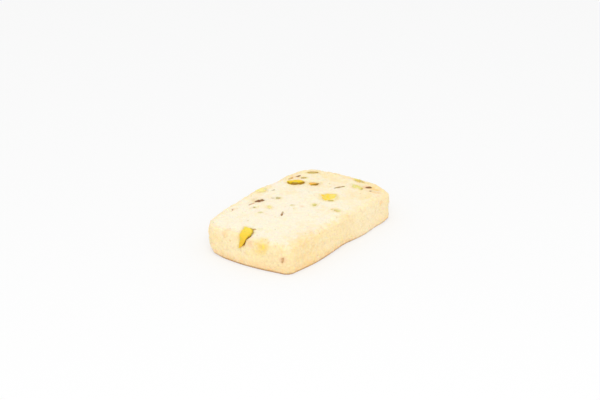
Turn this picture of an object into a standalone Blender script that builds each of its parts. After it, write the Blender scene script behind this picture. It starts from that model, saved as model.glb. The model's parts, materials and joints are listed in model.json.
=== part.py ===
"""Pistachio biscuit: one thick slice of pale shortbread, baked flat, with chopped pistachios in it.

Run it with blender --background --python part.py, or from the text editor. Metres, +Z up.
The origin is under the middle of the biscuit, in the plane that it rests on. +X runs along its
long side. The long side at -Y and the end at -X, with the pistachio that breaks its upper edge,
are the two that a viewer sees first.
"""

import math
import random
from collections import namedtuple

import bmesh
import bpy
from mathutils import Matrix, Vector, noise
from mathutils.bvhtree import BVHTree

MM = 0.001

# The slab. Its plan has four sides that bow out between four corners, no two alike.
THICKNESS = 10.0 * MM
HALF_PLAN = (28.4 * MM, 16.9 * MM)  # half the length and width, less the bows
# A corner: where its two sides would meet if it were sharp, its rounding in plan, how much
# further the foot of the wall draws in there than along the sides, how far the whole wall leans
# in from the crown to the foot, and how far the top droops.
Corner = namedtuple("Corner", "x y radius tuck lean droop")
CORNERS = {
    (-1, -1): Corner(-27.7 * MM, -18.0 * MM, 2.6 * MM, 0.2 * MM, 0.0 * MM, 0.0 * MM),
    (1, -1): Corner(29.2 * MM, -18.1 * MM, 3.8 * MM, 0.0 * MM, 0.9 * MM, 1.8 * MM),
    (1, 1): Corner(27.5 * MM, 16.7 * MM, 4.4 * MM, 1.0 * MM, 0.0 * MM, 0.2 * MM),
    (-1, 1): Corner(-29.6 * MM, 14.9 * MM, 5.2 * MM, 2.0 * MM, 0.0 * MM, 0.5 * MM),
}
CORNER_REACH = 9.0 * MM  # how far from a corner its tuck, its lean and its droop fade out
BOW_NEAR_END = 1.1 * MM  # the side at -X
BOW_FAR_END = 1.6 * MM  # +X
BOW_FRONT = 0.3 * MM  # -Y
BOW_BACK = 2.3 * MM  # +Y

# The wall, from the top down: a rounded crown, a slight belly and a rounded foot.
CROWN_IN = 1.5 * MM
CROWN_DOWN = 1.2 * MM
BELLY = 0.25 * MM
FOOT_IN = 0.5 * MM
FOOT_UP = 1.0 * MM
TUCK_UP = 1.1  # the foot's extra height for each metre that it draws in at a corner

# Unevenness of the dough: depth of each wave, and the width of one.
TOP_DOME = 0.3 * MM
TOP_SWELL, SWELL_WIDTH = 0.28 * MM, 17.0 * MM
TOP_RIPPLE, RIPPLE_WIDTH = 0.1 * MM, 4.5 * MM
WALL_SWELL, WALL_WIDTH = 0.35 * MM, 9.0 * MM

# The mesh: cells along and across the top, and rings down each part of the wall.
CELLS = (43, 26)
CROWN_STEPS, WALL_STEPS, FOOT_STEPS = 4, 5, 3

# Chopped nuts and scraps of their skin.
SEED = 11
CHIP_UNEVEN = 0.4  # how far a chip strays from an ellipsoid, as a part of its radius
CHIP_LUMPS = 1.6  # lumps across a chip's radius
NUT_PROUD = 0.35 * MM  # how far a chip stands out of the dough, where its line gives no height
SKIN_PROUD = 0.22 * MM
CHIP_DEPTH = 0.8 * MM  # how deep it goes into the dough
RIM_DEPTH = 0.06 * MM  # how far its widest line lies under the dough's surface
LARGE_CHIP = 5.0 * MM  # a chip longer than this gets the finer form
FINE_FORM, PLAIN_FORM = 3, 2  # subdivisions of an icosahedron
EDGE_GAP = 0.45 * MM  # the crack that the dough opened beside the nut at the upper edge
SHARP_EDGE = 22  # a fold sharper than this many degrees is shown as an edge

UP = Vector((0, 0, 1))
FRONT, BACK = Vector((0, -1, 0)), Vector((0, 1, 0))
NEAR_END, FAR_END = Vector((-1, 0, 0)), Vector((1, 0, 0))

# A chip: the side it shows on, its place there (x and y on the top, x and z on a long side, y and
# z on an end), its length and width, and the turn of its length from the level direction along
# that side. Some have a height of their own, a bend (how far its two ends lie to one side of its
# middle) and a taper (how much wider than its middle its far end is, as a part of the width). A
# chip on the top that reaches past the near end is laid down over the edge.
Chip = namedtuple("Chip", "side first second long wide turn proud bend taper", defaults=(None, 0.0, 0.0))
NUTS = (
    Chip(UP, 13.6 * MM, 11.1 * MM, 5.2 * MM, 3.4 * MM, -48, 0.9 * MM),
    Chip(UP, 16.3 * MM, 5.5 * MM, 3.4 * MM, 2.4 * MM, -58, 0.6 * MM),
    Chip(UP, 10.5 * MM, -5.0 * MM, 5.6 * MM, 5.2 * MM, -44),
    Chip(UP, 8.5 * MM, -7.2 * MM, 1.8 * MM, 1.1 * MM, -50),
    Chip(UP, 23.4 * MM, -7.1 * MM, 4.8 * MM, 2.6 * MM, 67),
    Chip(UP, 23.9 * MM, -14.3 * MM, 3.6 * MM, 2.6 * MM, -30),
    Chip(UP, -0.1 * MM, 7.8 * MM, 1.6 * MM, 1.4 * MM, -36),
    Chip(UP, 2.6 * MM, -5.0 * MM, 1.9 * MM, 1.5 * MM, 37),
    Chip(UP, -2.0 * MM, 0.5 * MM, 1.9 * MM, 1.7 * MM, -53),
    Chip(UP, 3.6 * MM, -13.4 * MM, 2.3 * MM, 1.6 * MM, -60),
    Chip(UP, 3.1 * MM, -11.6 * MM, 1.1 * MM, 0.9 * MM, -50),
    Chip(UP, 1.4 * MM, 16.1 * MM, 3.9 * MM, 2.4 * MM, -12),
    Chip(UP, -7.5 * MM, 5.6 * MM, 2.2 * MM, 1.4 * MM, 37),
    Chip(UP, -12.6 * MM, 5.2 * MM, 2.2 * MM, 1.3 * MM, -50),
    Chip(UP, -10.7 * MM, 9.3 * MM, 1.1 * MM, 0.7 * MM, -50),
    Chip(UP, 18.8 * MM, 11.6 * MM, 1.9 * MM, 0.8 * MM, -40),
    Chip(UP, 27.9 * MM, -4.8 * MM, 4.4 * MM, 1.4 * MM, 83),
    Chip(UP, 24.6 * MM, 12.0 * MM, 4.2 * MM, 1.3 * MM, -53),
    Chip(NEAR_END, -8.0 * MM, 7.9 * MM, 4.2 * MM, 3.6 * MM, 15),
    Chip(NEAR_END, 5.3 * MM, 8.4 * MM, 2.8 * MM, 2.0 * MM, 30),
    Chip(NEAR_END, -3.2 * MM, 4.9 * MM, 2.4 * MM, 1.6 * MM, 70),
    Chip(FRONT, -1.1 * MM, 2.6 * MM, 2.4 * MM, 1.5 * MM, 20),
    Chip(FRONT, -17.8 * MM, 5.7 * MM, 2.8 * MM, 1.9 * MM, 65),
    Chip(FRONT, 13.8 * MM, 5.3 * MM, 2.6 * MM, 1.7 * MM, -30),
    Chip(FRONT, 20.9 * MM, 7.6 * MM, 2.4 * MM, 1.6 * MM, 60),
)
EDGE_NUT = Chip(UP, -28.4 * MM, -1.0 * MM, 9.6 * MM, 3.7 * MM, 14, 0.6 * MM, 1.5 * MM, 0.3)
SKINS = (
    Chip(UP, 19.2 * MM, -3.0 * MM, 4.4 * MM, 1.1 * MM, -27),
    Chip(UP, 25.5 * MM, -10.5 * MM, 2.2 * MM, 1.6 * MM, -41),
    Chip(UP, 23.4 * MM, -12.8 * MM, 1.4 * MM, 0.9 * MM, -20),
    Chip(UP, -5.2 * MM, 11.2 * MM, 3.6 * MM, 1.5 * MM, -11),
    Chip(UP, -8.9 * MM, 11.8 * MM, 3.2 * MM, 0.8 * MM, -8),
    Chip(UP, -9.0 * MM, -0.7 * MM, 3.4 * MM, 0.9 * MM, 28),
    Chip(UP, 18.8 * MM, 13.8 * MM, 2.2 * MM, 0.8 * MM, -6),
    Chip(UP, 15.4 * MM, 14.5 * MM, 2.6 * MM, 0.9 * MM, -11),
    Chip(UP, 4.1 * MM, 13.0 * MM, 1.3 * MM, 0.8 * MM, -20),
    Chip(UP, -16.4 * MM, 13.8 * MM, 1.3 * MM, 0.6 * MM, 37),
    Chip(UP, -24.2 * MM, -0.9 * MM, 2.2 * MM, 0.8 * MM, -28),
    Chip(NEAR_END, -15.8 * MM, 5.2 * MM, 2.2 * MM, 1.1 * MM, 75),
)
# Chips on the sides that face away: how many on each, how far they keep from its ends, and the
# range of each one's place in its own share of the side, height, length, and width for its length.
HIDDEN_NUTS = {"back": 7, "far end": 4}
HIDDEN_SKINS = {"back": 3, "far end": 1}
HIDDEN_MARGIN = 5.0 * MM
HIDDEN_STRAY = (0.15, 0.85)
HIDDEN_HEIGHTS = (2.6 * MM, 7.4 * MM)
HIDDEN_LONG, HIDDEN_WIDE = (2.2 * MM, 4.6 * MM), (0.55, 0.8)

# The colours a baker would name, as sRGB hex values.
DOUGH, KERNEL, SKIN = 0xF0DFBC, 0xD9C24A, 0x7A5238


def clear_scene():
    for thing in list(bpy.data.objects):
        bpy.data.objects.remove(thing)


def linear(srgb_hex):
    """A hex colour's three channels as linear light, with full opacity."""
    channels = [(srgb_hex >> shift & 255) / 255 for shift in (16, 8, 0)]
    return [c / 12.92 if c <= 0.04045 else ((c + 0.055) / 1.055) ** 2.4 for c in channels] + [1.0]


def finish(name, srgb_hex, roughness):
    material = bpy.data.materials.new(name)
    material.use_nodes = True
    shader = material.node_tree.nodes["Principled BSDF"]
    shader.inputs["Base Color"].default_value = linear(srgb_hex)
    shader.inputs["Roughness"].default_value = roughness
    shader.inputs["Metallic"].default_value = 0.0
    return material


def round_corner(u, v, inset):
    """Moves a point of the square-cornered plan, which is inset all round, to the rounded one."""
    half_x, half_y = HALF_PLAN[0] - inset, HALF_PLAN[1] - inset
    quarter = (1 if u > 0 else -1, 1 if v > 0 else -1)
    radius = CORNERS[quarter].radius - inset
    along = (abs(u) * half_x - (half_x - radius)) / radius
    across = (abs(v) * half_y - (half_y - radius)) / radius
    x, y = abs(u) * half_x, abs(v) * half_y
    if along > 0 and across > 0:
        x = half_x - radius + radius * along * math.sqrt(1 - across**2 / 2)
        y = half_y - radius + radius * across * math.sqrt(1 - along**2 / 2)
    return quarter[0] * x, quarter[1] * y


def bowed(x, y):
    """Moves a point of the plain plan to the real one, with its own corners and bowed sides."""
    s, t = x / HALF_PLAN[0], y / HALF_PLAN[1]
    place = Vector((0, 0))
    for (side_x, side_y), corner in CORNERS.items():
        share = (1 + side_x * s) * (1 + side_y * t) / 4
        place += share * Vector((corner.x, corner.y))
    place.x += (BOW_FAR_END * (1 + s) - BOW_NEAR_END * (1 - s)) / 2 * (1 - t * t)
    place.y += (BOW_BACK * (1 + t) - BOW_FRONT * (1 - t)) / 2 * (1 - s * s)
    return place


def plan_point(u, v, inset=0.0):
    """The plan at u and v, from -1 to 1 across the slab, drawn in by inset at its edge."""
    return bowed(*round_corner(u, v, inset))


def near_corner(place, amount):
    """What a corner's tuck, lean or droop comes to at this place: it fades out with distance."""
    found = 0.0
    for corner in CORNERS.values():
        away = (place - Vector((corner.x, corner.y))).length / CORNER_REACH
        if away < 1:
            found += getattr(corner, amount) * (1 - away * away * (3 - 2 * away))
    return found


def top_height(place):
    """The height of the upper face over a point of the plan."""
    s, t = place.x / HALF_PLAN[0], place.y / HALF_PLAN[1]
    swell = TOP_SWELL * noise.noise(place.to_3d() / SWELL_WIDTH)
    ripple = TOP_RIPPLE * noise.noise(place.to_3d() / RIPPLE_WIDTH + UP)
    dome = TOP_DOME * (s * s + t * t) / 2
    return THICKNESS - dome - near_corner(place, "droop") + swell + ripple


def wall_profile(place):
    """(inset, height as a part of the slab's) for each ring of the wall, from the crown down."""
    rings = []
    for step in range(1, CROWN_STEPS + 1):
        angle = math.pi / 2 * step / CROWN_STEPS
        rings.append((CROWN_IN * (1 - math.sin(angle)), 1 - CROWN_DOWN / THICKNESS * (1 - math.cos(angle))))
    tuck, lean = near_corner(place, "tuck"), near_corner(place, "lean")
    foot_in, foot_up = FOOT_IN + tuck, FOOT_UP + TUCK_UP * tuck
    upper, lower = 1 - CROWN_DOWN / THICKNESS, foot_up / THICKNESS
    for step in range(1, WALL_STEPS + 1):
        down = step / WALL_STEPS
        rings.append((lean * down - BELLY * math.sin(math.pi * down), upper + (lower - upper) * down))
    for step in range(1, FOOT_STEPS + 1):
        angle = math.pi / 2 * step / FOOT_STEPS
        rings.append((lean + foot_in * (1 - math.cos(angle)), lower * (1 - math.sin(angle))))
    return rings


def wall_swell(place, height):
    """How far the wall stands out at this place: nothing at the crown and at the foot."""
    fade = math.sin(math.pi * min(max(height / THICKNESS, 0), 1))
    return WALL_SWELL * fade * noise.noise(Vector((place.x, place.y, height)) / WALL_WIDTH)


def rim_of(cells):
    """The grid's outer points in order, round the slab counterclockwise from above."""
    across, along = cells
    rim = [(i, 0) for i in range(across)] + [(across, j) for j in range(along)]
    return rim + [(i, along) for i in range(across, 0, -1)] + [(0, j) for j in range(along, 0, -1)]


def slab_mesh():
    """The dough: a grid over the top, rings down the wall, and one flat face underneath."""
    shape = bmesh.new()
    grid = {}
    for i in range(CELLS[0] + 1):
        for j in range(CELLS[1] + 1):
            place = plan_point(2 * i / CELLS[0] - 1, 2 * j / CELLS[1] - 1, CROWN_IN)
            grid[i, j] = shape.verts.new((*place, top_height(place)))
    for i in range(CELLS[0]):
        for j in range(CELLS[1]):
            shape.faces.new((grid[i, j], grid[i + 1, j], grid[i + 1, j + 1], grid[i, j + 1]))
    columns = []
    for i, j in rim_of(CELLS):
        u, v = 2 * i / CELLS[0] - 1, 2 * j / CELLS[1] - 1
        crown, edge = grid[i, j], plan_point(u, v)
        outward = (edge - plan_point(u, v, CROWN_IN)).normalized()
        column = [crown]
        for inset, part in wall_profile(edge):
            height = part * crown.co.z
            place = plan_point(u, v, inset) + outward * wall_swell(edge, height)
            column.append(shape.verts.new((*place, height)))
        columns.append(column)
    for near, far in zip(columns, columns[1:] + columns[:1]):
        for upper in range(len(near) - 1):
            shape.faces.new((near[upper], near[upper + 1], far[upper + 1], far[upper]))
    underside = shape.faces.new([column[-1] for column in reversed(columns)])
    bmesh.ops.poke(shape, faces=[underside])
    bmesh.ops.recalc_face_normals(shape, faces=shape.faces)
    return shape


def chip_frame(chip, dough):
    """Where the chip sits on the dough: its third axis straight out, its first turned from level."""
    if chip.side == UP:
        inside, level = Vector((chip.first, chip.second, THICKNESS / 2)), FAR_END
    elif chip.side in (FRONT, BACK):
        inside, level = Vector((chip.first, 0, chip.second)), UP.cross(chip.side)
    else:
        inside, level = Vector((0, chip.first, chip.second)), UP.cross(chip.side)
    place = dough.ray_cast(inside, chip.side)[0]
    frame = Matrix((level, chip.side.cross(level), chip.side)).transposed().to_4x4()
    return Matrix.Translation(place) @ frame @ Matrix.Rotation(math.radians(chip.turn), 4, "Z")


def bent_down(flat, dough):
    """A point above the top that lies beyond the near end's wall, laid down along that wall."""
    wall = dough.ray_cast(Vector((0, flat.y, THICKNESS / 2)), NEAR_END)[0]
    beyond = max(wall.x - flat.x, 0)
    return flat + Vector((beyond, 0, -beyond))


def chip_object(chip, dough, proud, material, draw, into):
    """One chip: an uneven ellipsoid draped on the dough, with its outer side cut almost flat."""
    frame = chip_frame(chip, dough)
    proud = chip.proud or proud
    drift = Vector([draw.uniform(0, 100) for _ in range(3)])
    shape = bmesh.new()
    subdivisions = FINE_FORM if chip.long > LARGE_CHIP else PLAIN_FORM
    bmesh.ops.create_icosphere(shape, subdivisions=subdivisions, radius=1)
    outward = Vector((0, 0, 0))
    draped = []
    for vert in shape.verts:
        x, y, z = vert.co * (1 + CHIP_UNEVEN * noise.noise(vert.co * CHIP_LUMPS + drift))
        across = y * (1 + chip.taper * x) * chip.wide / 2 + chip.bend * x * x
        flat = frame @ Vector((x * chip.long / 2, across, 0))
        if chip.side == UP:
            flat = bent_down(flat, dough)
        place, normal, _, _ = dough.find_nearest(flat)
        outward += normal
        draped.append((place, normal, z))
    outward.normalize()
    for vert, (place, normal, z) in zip(shape.verts, draped):
        vert.co = place - RIM_DEPTH * outward
        vert.co += proud * math.sqrt(z) * normal if z > 0 else CHIP_DEPTH * z * outward
    mesh = bpy.data.meshes.new(material.name)
    shape.to_mesh(mesh)
    shape.free()
    mesh.materials.append(material)
    into.objects.link(bpy.data.objects.new(material.name, mesh))


def hidden_chips(counts, draw):
    """Chips for the sides that face away, spaced along each at even steps, give or take."""
    reach = {"back": (BACK, HALF_PLAN[0]), "far end": (FAR_END, HALF_PLAN[1])}
    chips = []
    for name, count in counts.items():
        side, half = reach[name]
        free = half - HIDDEN_MARGIN
        for k in range(count):
            along = -free + 2 * free * (k + draw.uniform(*HIDDEN_STRAY)) / count
            long = draw.uniform(*HIDDEN_LONG)
            wide = long * draw.uniform(*HIDDEN_WIDE)
            chips.append(Chip(side, along, draw.uniform(*HIDDEN_HEIGHTS), long, wide, draw.uniform(0, 180)))
    return chips


def apply_boolean(thing, operation, collection):
    """Joins or cuts with everything in the collection, applies it, and removes what it used.

    The exact solver drops some of the chips that lie nearly level with the dough."""
    modifier = thing.modifiers.new(operation.title(), "BOOLEAN")
    modifier.operation = operation
    modifier.operand_type = "COLLECTION"
    modifier.collection = collection
    modifier.solver = "MANIFOLD"
    modifier.material_mode = "TRANSFER"
    bpy.context.view_layer.update()
    graph = bpy.context.evaluated_depsgraph_get()
    joined = bpy.data.meshes.new_from_object(thing.evaluated_get(graph))
    thing.modifiers.remove(modifier)
    joined.name = thing.name
    thing.data = joined
    for used in list(collection.objects):
        bpy.data.objects.remove(used)
    bpy.data.collections.remove(collection)


def keep_outer_skin(mesh):
    """Drops loose scrap and the walls of sealed hollows: all but the largest connected surface."""
    shape = bmesh.new()
    shape.from_mesh(mesh)
    waiting = set(shape.verts)
    surfaces = []
    while waiting:
        surface, edge = set(), {waiting.pop()}
        while edge:
            surface |= edge
            edge = {link.other_vert(vert) for vert in edge for link in vert.link_edges} - surface
        waiting -= surface
        surfaces.append(surface)
    largest = max(surfaces, key=len)
    scrap = [vert for vert in shape.verts if vert not in largest]
    bmesh.ops.delete(shape, geom=scrap, context="VERTS")
    shape.to_mesh(mesh)
    shape.free()


def centre_on_origin(mesh):
    """Slides the mesh level, so that the middle of its box is over the origin."""
    for axis in (0, 1):
        values = [vert.co[axis] for vert in mesh.vertices]
        middle = (max(values) + min(values)) / 2
        for vert in mesh.vertices:
            vert.co[axis] -= middle


def helpers(name):
    collection = bpy.data.collections.new(name)
    bpy.context.scene.collection.children.link(collection)
    return collection


def build():
    clear_scene()
    draw = random.Random(SEED)
    dough_finish = finish("baked shortbread", DOUGH, 0.85)
    nut_finish = finish("pistachio kernel", KERNEL, 0.6)
    skin_finish = finish("pistachio skin", SKIN, 0.7)

    slab = slab_mesh()
    dough = BVHTree.FromBMesh(slab)
    mesh = bpy.data.meshes.new("biscuit")
    slab.to_mesh(mesh)
    slab.free()
    mesh.materials.append(dough_finish)
    biscuit = bpy.data.objects.new("biscuit", mesh)
    bpy.context.scene.collection.objects.link(biscuit)

    gaps = helpers("gaps")
    beside = EDGE_NUT._replace(second=EDGE_NUT.second - EDGE_GAP)
    chip_object(beside, dough, NUT_PROUD, dough_finish, random.Random(SEED), gaps)
    apply_boolean(biscuit, "DIFFERENCE", gaps)

    pieces = helpers("pieces")
    chip_object(EDGE_NUT, dough, NUT_PROUD, nut_finish, random.Random(SEED), pieces)
    for chip in list(NUTS) + hidden_chips(HIDDEN_NUTS, draw):
        chip_object(chip, dough, NUT_PROUD, nut_finish, draw, pieces)
    for chip in list(SKINS) + hidden_chips(HIDDEN_SKINS, draw):
        chip_object(chip, dough, SKIN_PROUD, skin_finish, draw, pieces)
    apply_boolean(biscuit, "UNION", pieces)

    keep_outer_skin(biscuit.data)
    centre_on_origin(biscuit.data)
    biscuit.data.shade_smooth()
    biscuit.data.set_sharp_from_angle(angle=math.radians(SHARP_EDGE))


build()
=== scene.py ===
"""Pistachio biscuit: the baked look of the one solid in the frame.

The dough is made again by the rule that gives the solid its plan, top and wall, fine enough to carry
its crumb, and the chopped pistachios and scraps of skin lie on it where the solid has them.
Metres, +Z up. Sizes on the biscuit are in millimetres, as N * MM or in a table that says so.
"""

import json
import math
import random
from collections import namedtuple
from functools import partial

import bmesh
import bpy
import numpy as np
from bpy.props import FloatProperty, FloatVectorProperty, IntProperty, PointerProperty
from mathutils import Matrix, Vector, noise
from mathutils.bvhtree import BVHTree

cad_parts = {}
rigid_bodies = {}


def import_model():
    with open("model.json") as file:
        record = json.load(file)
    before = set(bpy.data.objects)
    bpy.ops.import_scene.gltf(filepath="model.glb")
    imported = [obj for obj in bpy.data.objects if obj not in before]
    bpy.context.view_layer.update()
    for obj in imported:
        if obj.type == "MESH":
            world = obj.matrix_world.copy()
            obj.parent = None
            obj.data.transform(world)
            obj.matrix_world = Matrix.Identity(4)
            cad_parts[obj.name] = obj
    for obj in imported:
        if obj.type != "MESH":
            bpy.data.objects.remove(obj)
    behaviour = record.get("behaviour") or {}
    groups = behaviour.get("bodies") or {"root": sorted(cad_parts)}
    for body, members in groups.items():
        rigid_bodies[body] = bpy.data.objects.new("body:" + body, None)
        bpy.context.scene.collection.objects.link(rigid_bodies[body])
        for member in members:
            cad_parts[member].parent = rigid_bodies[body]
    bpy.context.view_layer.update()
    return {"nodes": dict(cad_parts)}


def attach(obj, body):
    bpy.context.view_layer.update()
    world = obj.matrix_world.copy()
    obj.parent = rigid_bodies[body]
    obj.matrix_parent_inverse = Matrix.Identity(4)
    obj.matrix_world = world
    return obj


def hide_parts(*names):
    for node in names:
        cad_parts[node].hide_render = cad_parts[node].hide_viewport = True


bl_info = {
    "name": "Pistachio Biscuit",
    "version": (1, 0, 0),
    "blender": (4, 5, 0),
    "location": "View3D > Sidebar > Biscuit",
    "description": "Dresses a plain biscuit solid as baked pistachio shortbread",
    "category": "Mesh",
}

MM = 0.001

for startup_thing in list(bpy.data.objects):
    bpy.data.objects.remove(startup_thing)
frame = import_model()

THICKNESS = 10.0 * MM
HALF_PLAN = (28.4 * MM, 16.9 * MM)  # half the length and width, less the bows

# Each corner, in millimetres: its place and radius, how far its foot tucks in, how far its wall
# leans in, and how far its top droops.
Corner = namedtuple("Corner", "x y radius tuck lean droop")
CORNERS = {
    sides: Corner(*[size * MM for size in sizes])
    for sides, sizes in {
        (-1, -1): (-27.7, -18.0, 2.6, 0.2, 0.0, 0.0),
        (1, -1): (29.2, -18.1, 3.8, 0.0, 0.9, 1.8),
        (1, 1): (27.5, 16.7, 4.4, 1.0, 0.0, 0.2),
        (-1, 1): (-29.6, 14.9, 5.2, 2.0, 0.0, 0.5),
    }.items()
}
CORNER_REACH = 9.0 * MM  # how far from a corner its tuck, lean and droop fade out
BOW_NEAR_END, BOW_FAR_END = 1.1 * MM, 1.6 * MM
BOW_FRONT, BOW_BACK = 0.3 * MM, 2.3 * MM
CROWN_IN, CROWN_DOWN = 1.5 * MM, 1.2 * MM  # the rounded upper edge
BELLY = 0.25 * MM
FOOT_IN, FOOT_UP = 0.5 * MM, 1.0 * MM  # the rounded lower edge
TOUCHING = 0.001 * MM  # a point lower than this is on what the biscuit stands on
TUCK_UP = 1.1  # the foot's extra height for each metre that it draws in at a corner
TOP_DOME = 0.3 * MM
TOP_SWELL, SWELL_WIDTH = 0.28 * MM, 17.0 * MM
TOP_RIPPLE, RIPPLE_WIDTH = 0.1 * MM, 4.5 * MM
WALL_SWELL, WALL_WIDTH = 0.35 * MM, 9.0 * MM

# Where the soft dough sagged out at the foot, or sank, on its way through the oven, in
# millimetres: a place, how far round it along each axis, and how far it moves.
Push = namedtuple("Push", "place reach move")
PUSHES = (
    Push((-13.5, -18.5, 0.0), (14.5, 7.0, 5.0), (0.0, -0.9, 0.0)),
    Push((11.0, -18.5, 0.0), (10.0, 7.0, 5.0), (0.0, -0.95, 0.0)),
    Push((24.5, -18.5, 0.0), (10.0, 7.0, 5.0), (0.0, -0.8, 0.0)),
    Push((-29.5, -1.5, 0.0), (7.0, 15.0, 5.0), (-0.6, 0.0, 0.0)),
    Push((1.0, 18.5, 10.0), (6.0, 5.0, 4.0), (0.0, 0.1, 0.4)),
    Push((10.5, 19.0, 10.0), (7.0, 5.0, 4.0), (0.0, -0.2, -0.5)),
    Push((-28.5, -18.8, 10.4), (8.0, 8.0, 5.0), (0.5, 0.5, -0.7)),
)

# Cells of about 0.23 mm, so that a crumb of half a millimetre has its shape.
CELLS = (260, 156)
CROWN_STEPS, WALL_STEPS, FOOT_STEPS = 8, 36, 8
UNDER_RINGS = 6

# The top turns golden towards its edge over this width, and is this far to the walls' gold there.
GOLDEN_RIM = 3.0 * MM
RIM_SHARE = 0.5

SEED = 11
CHIP_UNEVEN = 0.4  # how far a chip strays from an ellipsoid, as a part of its radius
CHIP_LUMPS = 1.6  # lumps across a chip's radius
CUTS, CUT_DEPTH = 9, (0.78, 0.95)  # flat cuts round it, and how far out they are
FACING = 0.05  # the least cosine between a cut and a way that it can bound
FACETS, FACET_STRAY = 4, 0.7  # slopes on its upper side, and how unevenly they lie round it
FACET_FALL, FACET_TOP = (0.15, 0.7), (0.75, 1.0)
FACET_LEAST = 0.2  # the slopes leave at least this much of its height
NUT_PROUD, SKIN_PROUD = 0.35 * MM, 0.22 * MM  # how far one stands out, if its row doesn't say
CHIP_DEPTH = 0.8 * MM  # how deep it goes into the dough
RIM_DEPTH = 0.06 * MM  # how far its widest line lies under the dough's surface
GRIT, GRIT_WIDTH = 0.05 * MM, 0.5 * MM  # the fine unevenness of its upper side
ROUND = 0.55  # a low power of its height gives it a flat top with steep sides, and its veil adds to it
TINT_SPAN = 0.8  # its near colour turns to the far one within this part of its half length each way
BARK_BLUR, CRUST_RIM = 0.5, 0.9  # how softly its dark skin ends, and how high the dough laps it
FINEST = 5  # subdivisions of the largest chips
LARGE_CHIP, SMALL_CHIP = 5 * MM, 2.3 * MM  # a nut up to each of these lengths gets one less
BARE = 0.2  # where the dough covers less of a chip than this, its rim is clean
BURIED = 0.45  # where it covers this much, the chip is only a swelling with a tint
SWELLING, TINTING, TINT_BEYOND = 0.8, 1.2, 1.3  # that swelling's height, its tint's strength and reach
SHARP_ANGLE = math.radians(50)

# The crack beside the nut at the upper edge is that nut's own form, shifted this far from it, this
# tall and this deep, taken out of the dough.
EDGE_GAP, CRACK_TALL, CRACK_DEEP = 0.2 * MM, 3.0 * MM, 1.2 * MM

UP = Vector((0, 0, 1))
FRONT, BACK = Vector((0, -1, 0)), Vector((0, 1, 0))
NEAR_END, FAR_END = Vector((-1, 0, 0)), Vector((1, 0, 0))

# What a chopped kernel shows: fresh yellow, the orange of a toasted face, and greens; and what
# skin and toasted scraps show.
YELLOW, SOFT_YELLOW, LEMON, GOLD = 0xF5CA0C, 0xF3D350, 0xF8DC40, 0xF0C038
AMBER, ORANGE, TAN = 0xF0B83C, 0xE9A04C, 0xEFC488
GREEN, SOFT_GREEN, MOSS, OLIVE, PALE = 0xC0B44C, 0xE4D45C, 0xA49A60, 0xC8AA5A, 0xF0E290
PLUM, COCOA, UMBER, ROSE, GOLDEN = 0x855A38, 0x966A3C, 0xB0905C, 0xC89868, 0xC79A45

# A chip: its side, place, length, width and turn as in the solid; then the colours at its near
# and far ends and how much of it the dough covers. Some have a height, bend and taper as in the
# solid, or dark skin left on them: the angle of that side from the length, and how far out it
# starts. The tables give lengths in millimetres.
Chip = namedtuple(
    "Chip",
    "side first second long wide turn tint far_tint veil proud bark bend taper",
    defaults=(None, None, 0.0, 0.0),
)
# Where a piece lies just under the surface, or has coloured the dough round it: a place on the
# biscuit, how far the colour reaches, how strong it is, and the colour.
Stain = namedtuple("Stain", "x y z reach strength tint")
LENGTHS = ("first", "second", "long", "wide", "proud", "bend", "x", "y", "z", "reach")


def in_metres(kind, *rows):
    """The rows of a table as things of this kind, their lengths turned from millimetres to metres."""
    things = []
    for row in rows:
        thing = kind(*row)
        lengths = {name: getattr(thing, name) * MM for name in LENGTHS if getattr(thing, name, None)}
        things.append(thing._replace(**lengths))
    return things


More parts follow.
